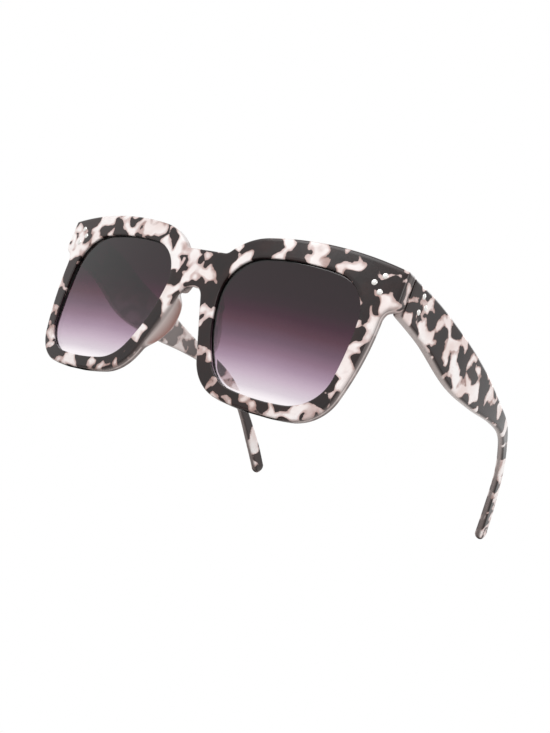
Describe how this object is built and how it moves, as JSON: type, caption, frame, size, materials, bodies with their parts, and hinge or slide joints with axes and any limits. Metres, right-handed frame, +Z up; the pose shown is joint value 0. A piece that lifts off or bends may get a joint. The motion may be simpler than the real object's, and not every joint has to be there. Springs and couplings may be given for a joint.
{
  "type": "sunglasses",
  "caption": "Oversized square sunglasses with a thick blotched tortoise-pattern frame, graded dark lenses, riveted hinges and wide temples that fold.",
  "frame": {"origin": "centre of the bounding box across and front to back, at the level that the rims and the temple tips stand on", "axes": "+X towards the wearer's left, +Y from the front towards the ears, +Z up"},
  "size_m": [0.154, 0.1516, 0.0586],
  "materials": {
    "shell": "polished moulded plastic, milky cream with charcoal blotches",
    "lens": "tinted lens, dark plum at the top grading to almost clear at the bottom",
    "metal": "polished hinge metal"
  },
  "bodies": {
    "front": {"front_frame": "shell", "left_lens": "lens", "right_lens": "lens", "left_front_hinge": "metal", "right_front_hinge": "metal", "left_hinge_screw": "metal", "right_hinge_screw": "metal", "left_front_rivets": "metal", "right_front_rivets": "metal"},
    "left_arm": {"left_temple": "shell", "left_temple_hinge": "metal", "left_temple_rivets": "metal"},
    "right_arm": {"right_temple": "shell", "right_temple_hinge": "metal", "right_temple_rivets": "metal"}
  },
  "joints": [
    {"name": "left_temple_fold", "type": "hinge", "parent": "front", "child": "left_arm", "pos_m": [0.0678, -0.06118, 0.0494], "axis": [0, 0, 1], "range_deg": [0, 86]},
    {"name": "right_temple_fold", "type": "hinge", "parent": "front", "child": "right_arm", "pos_m": [-0.0678, -0.06118, 0.0494], "axis": [0, 0, -1], "range_deg": [0, 74]}
  ]
}
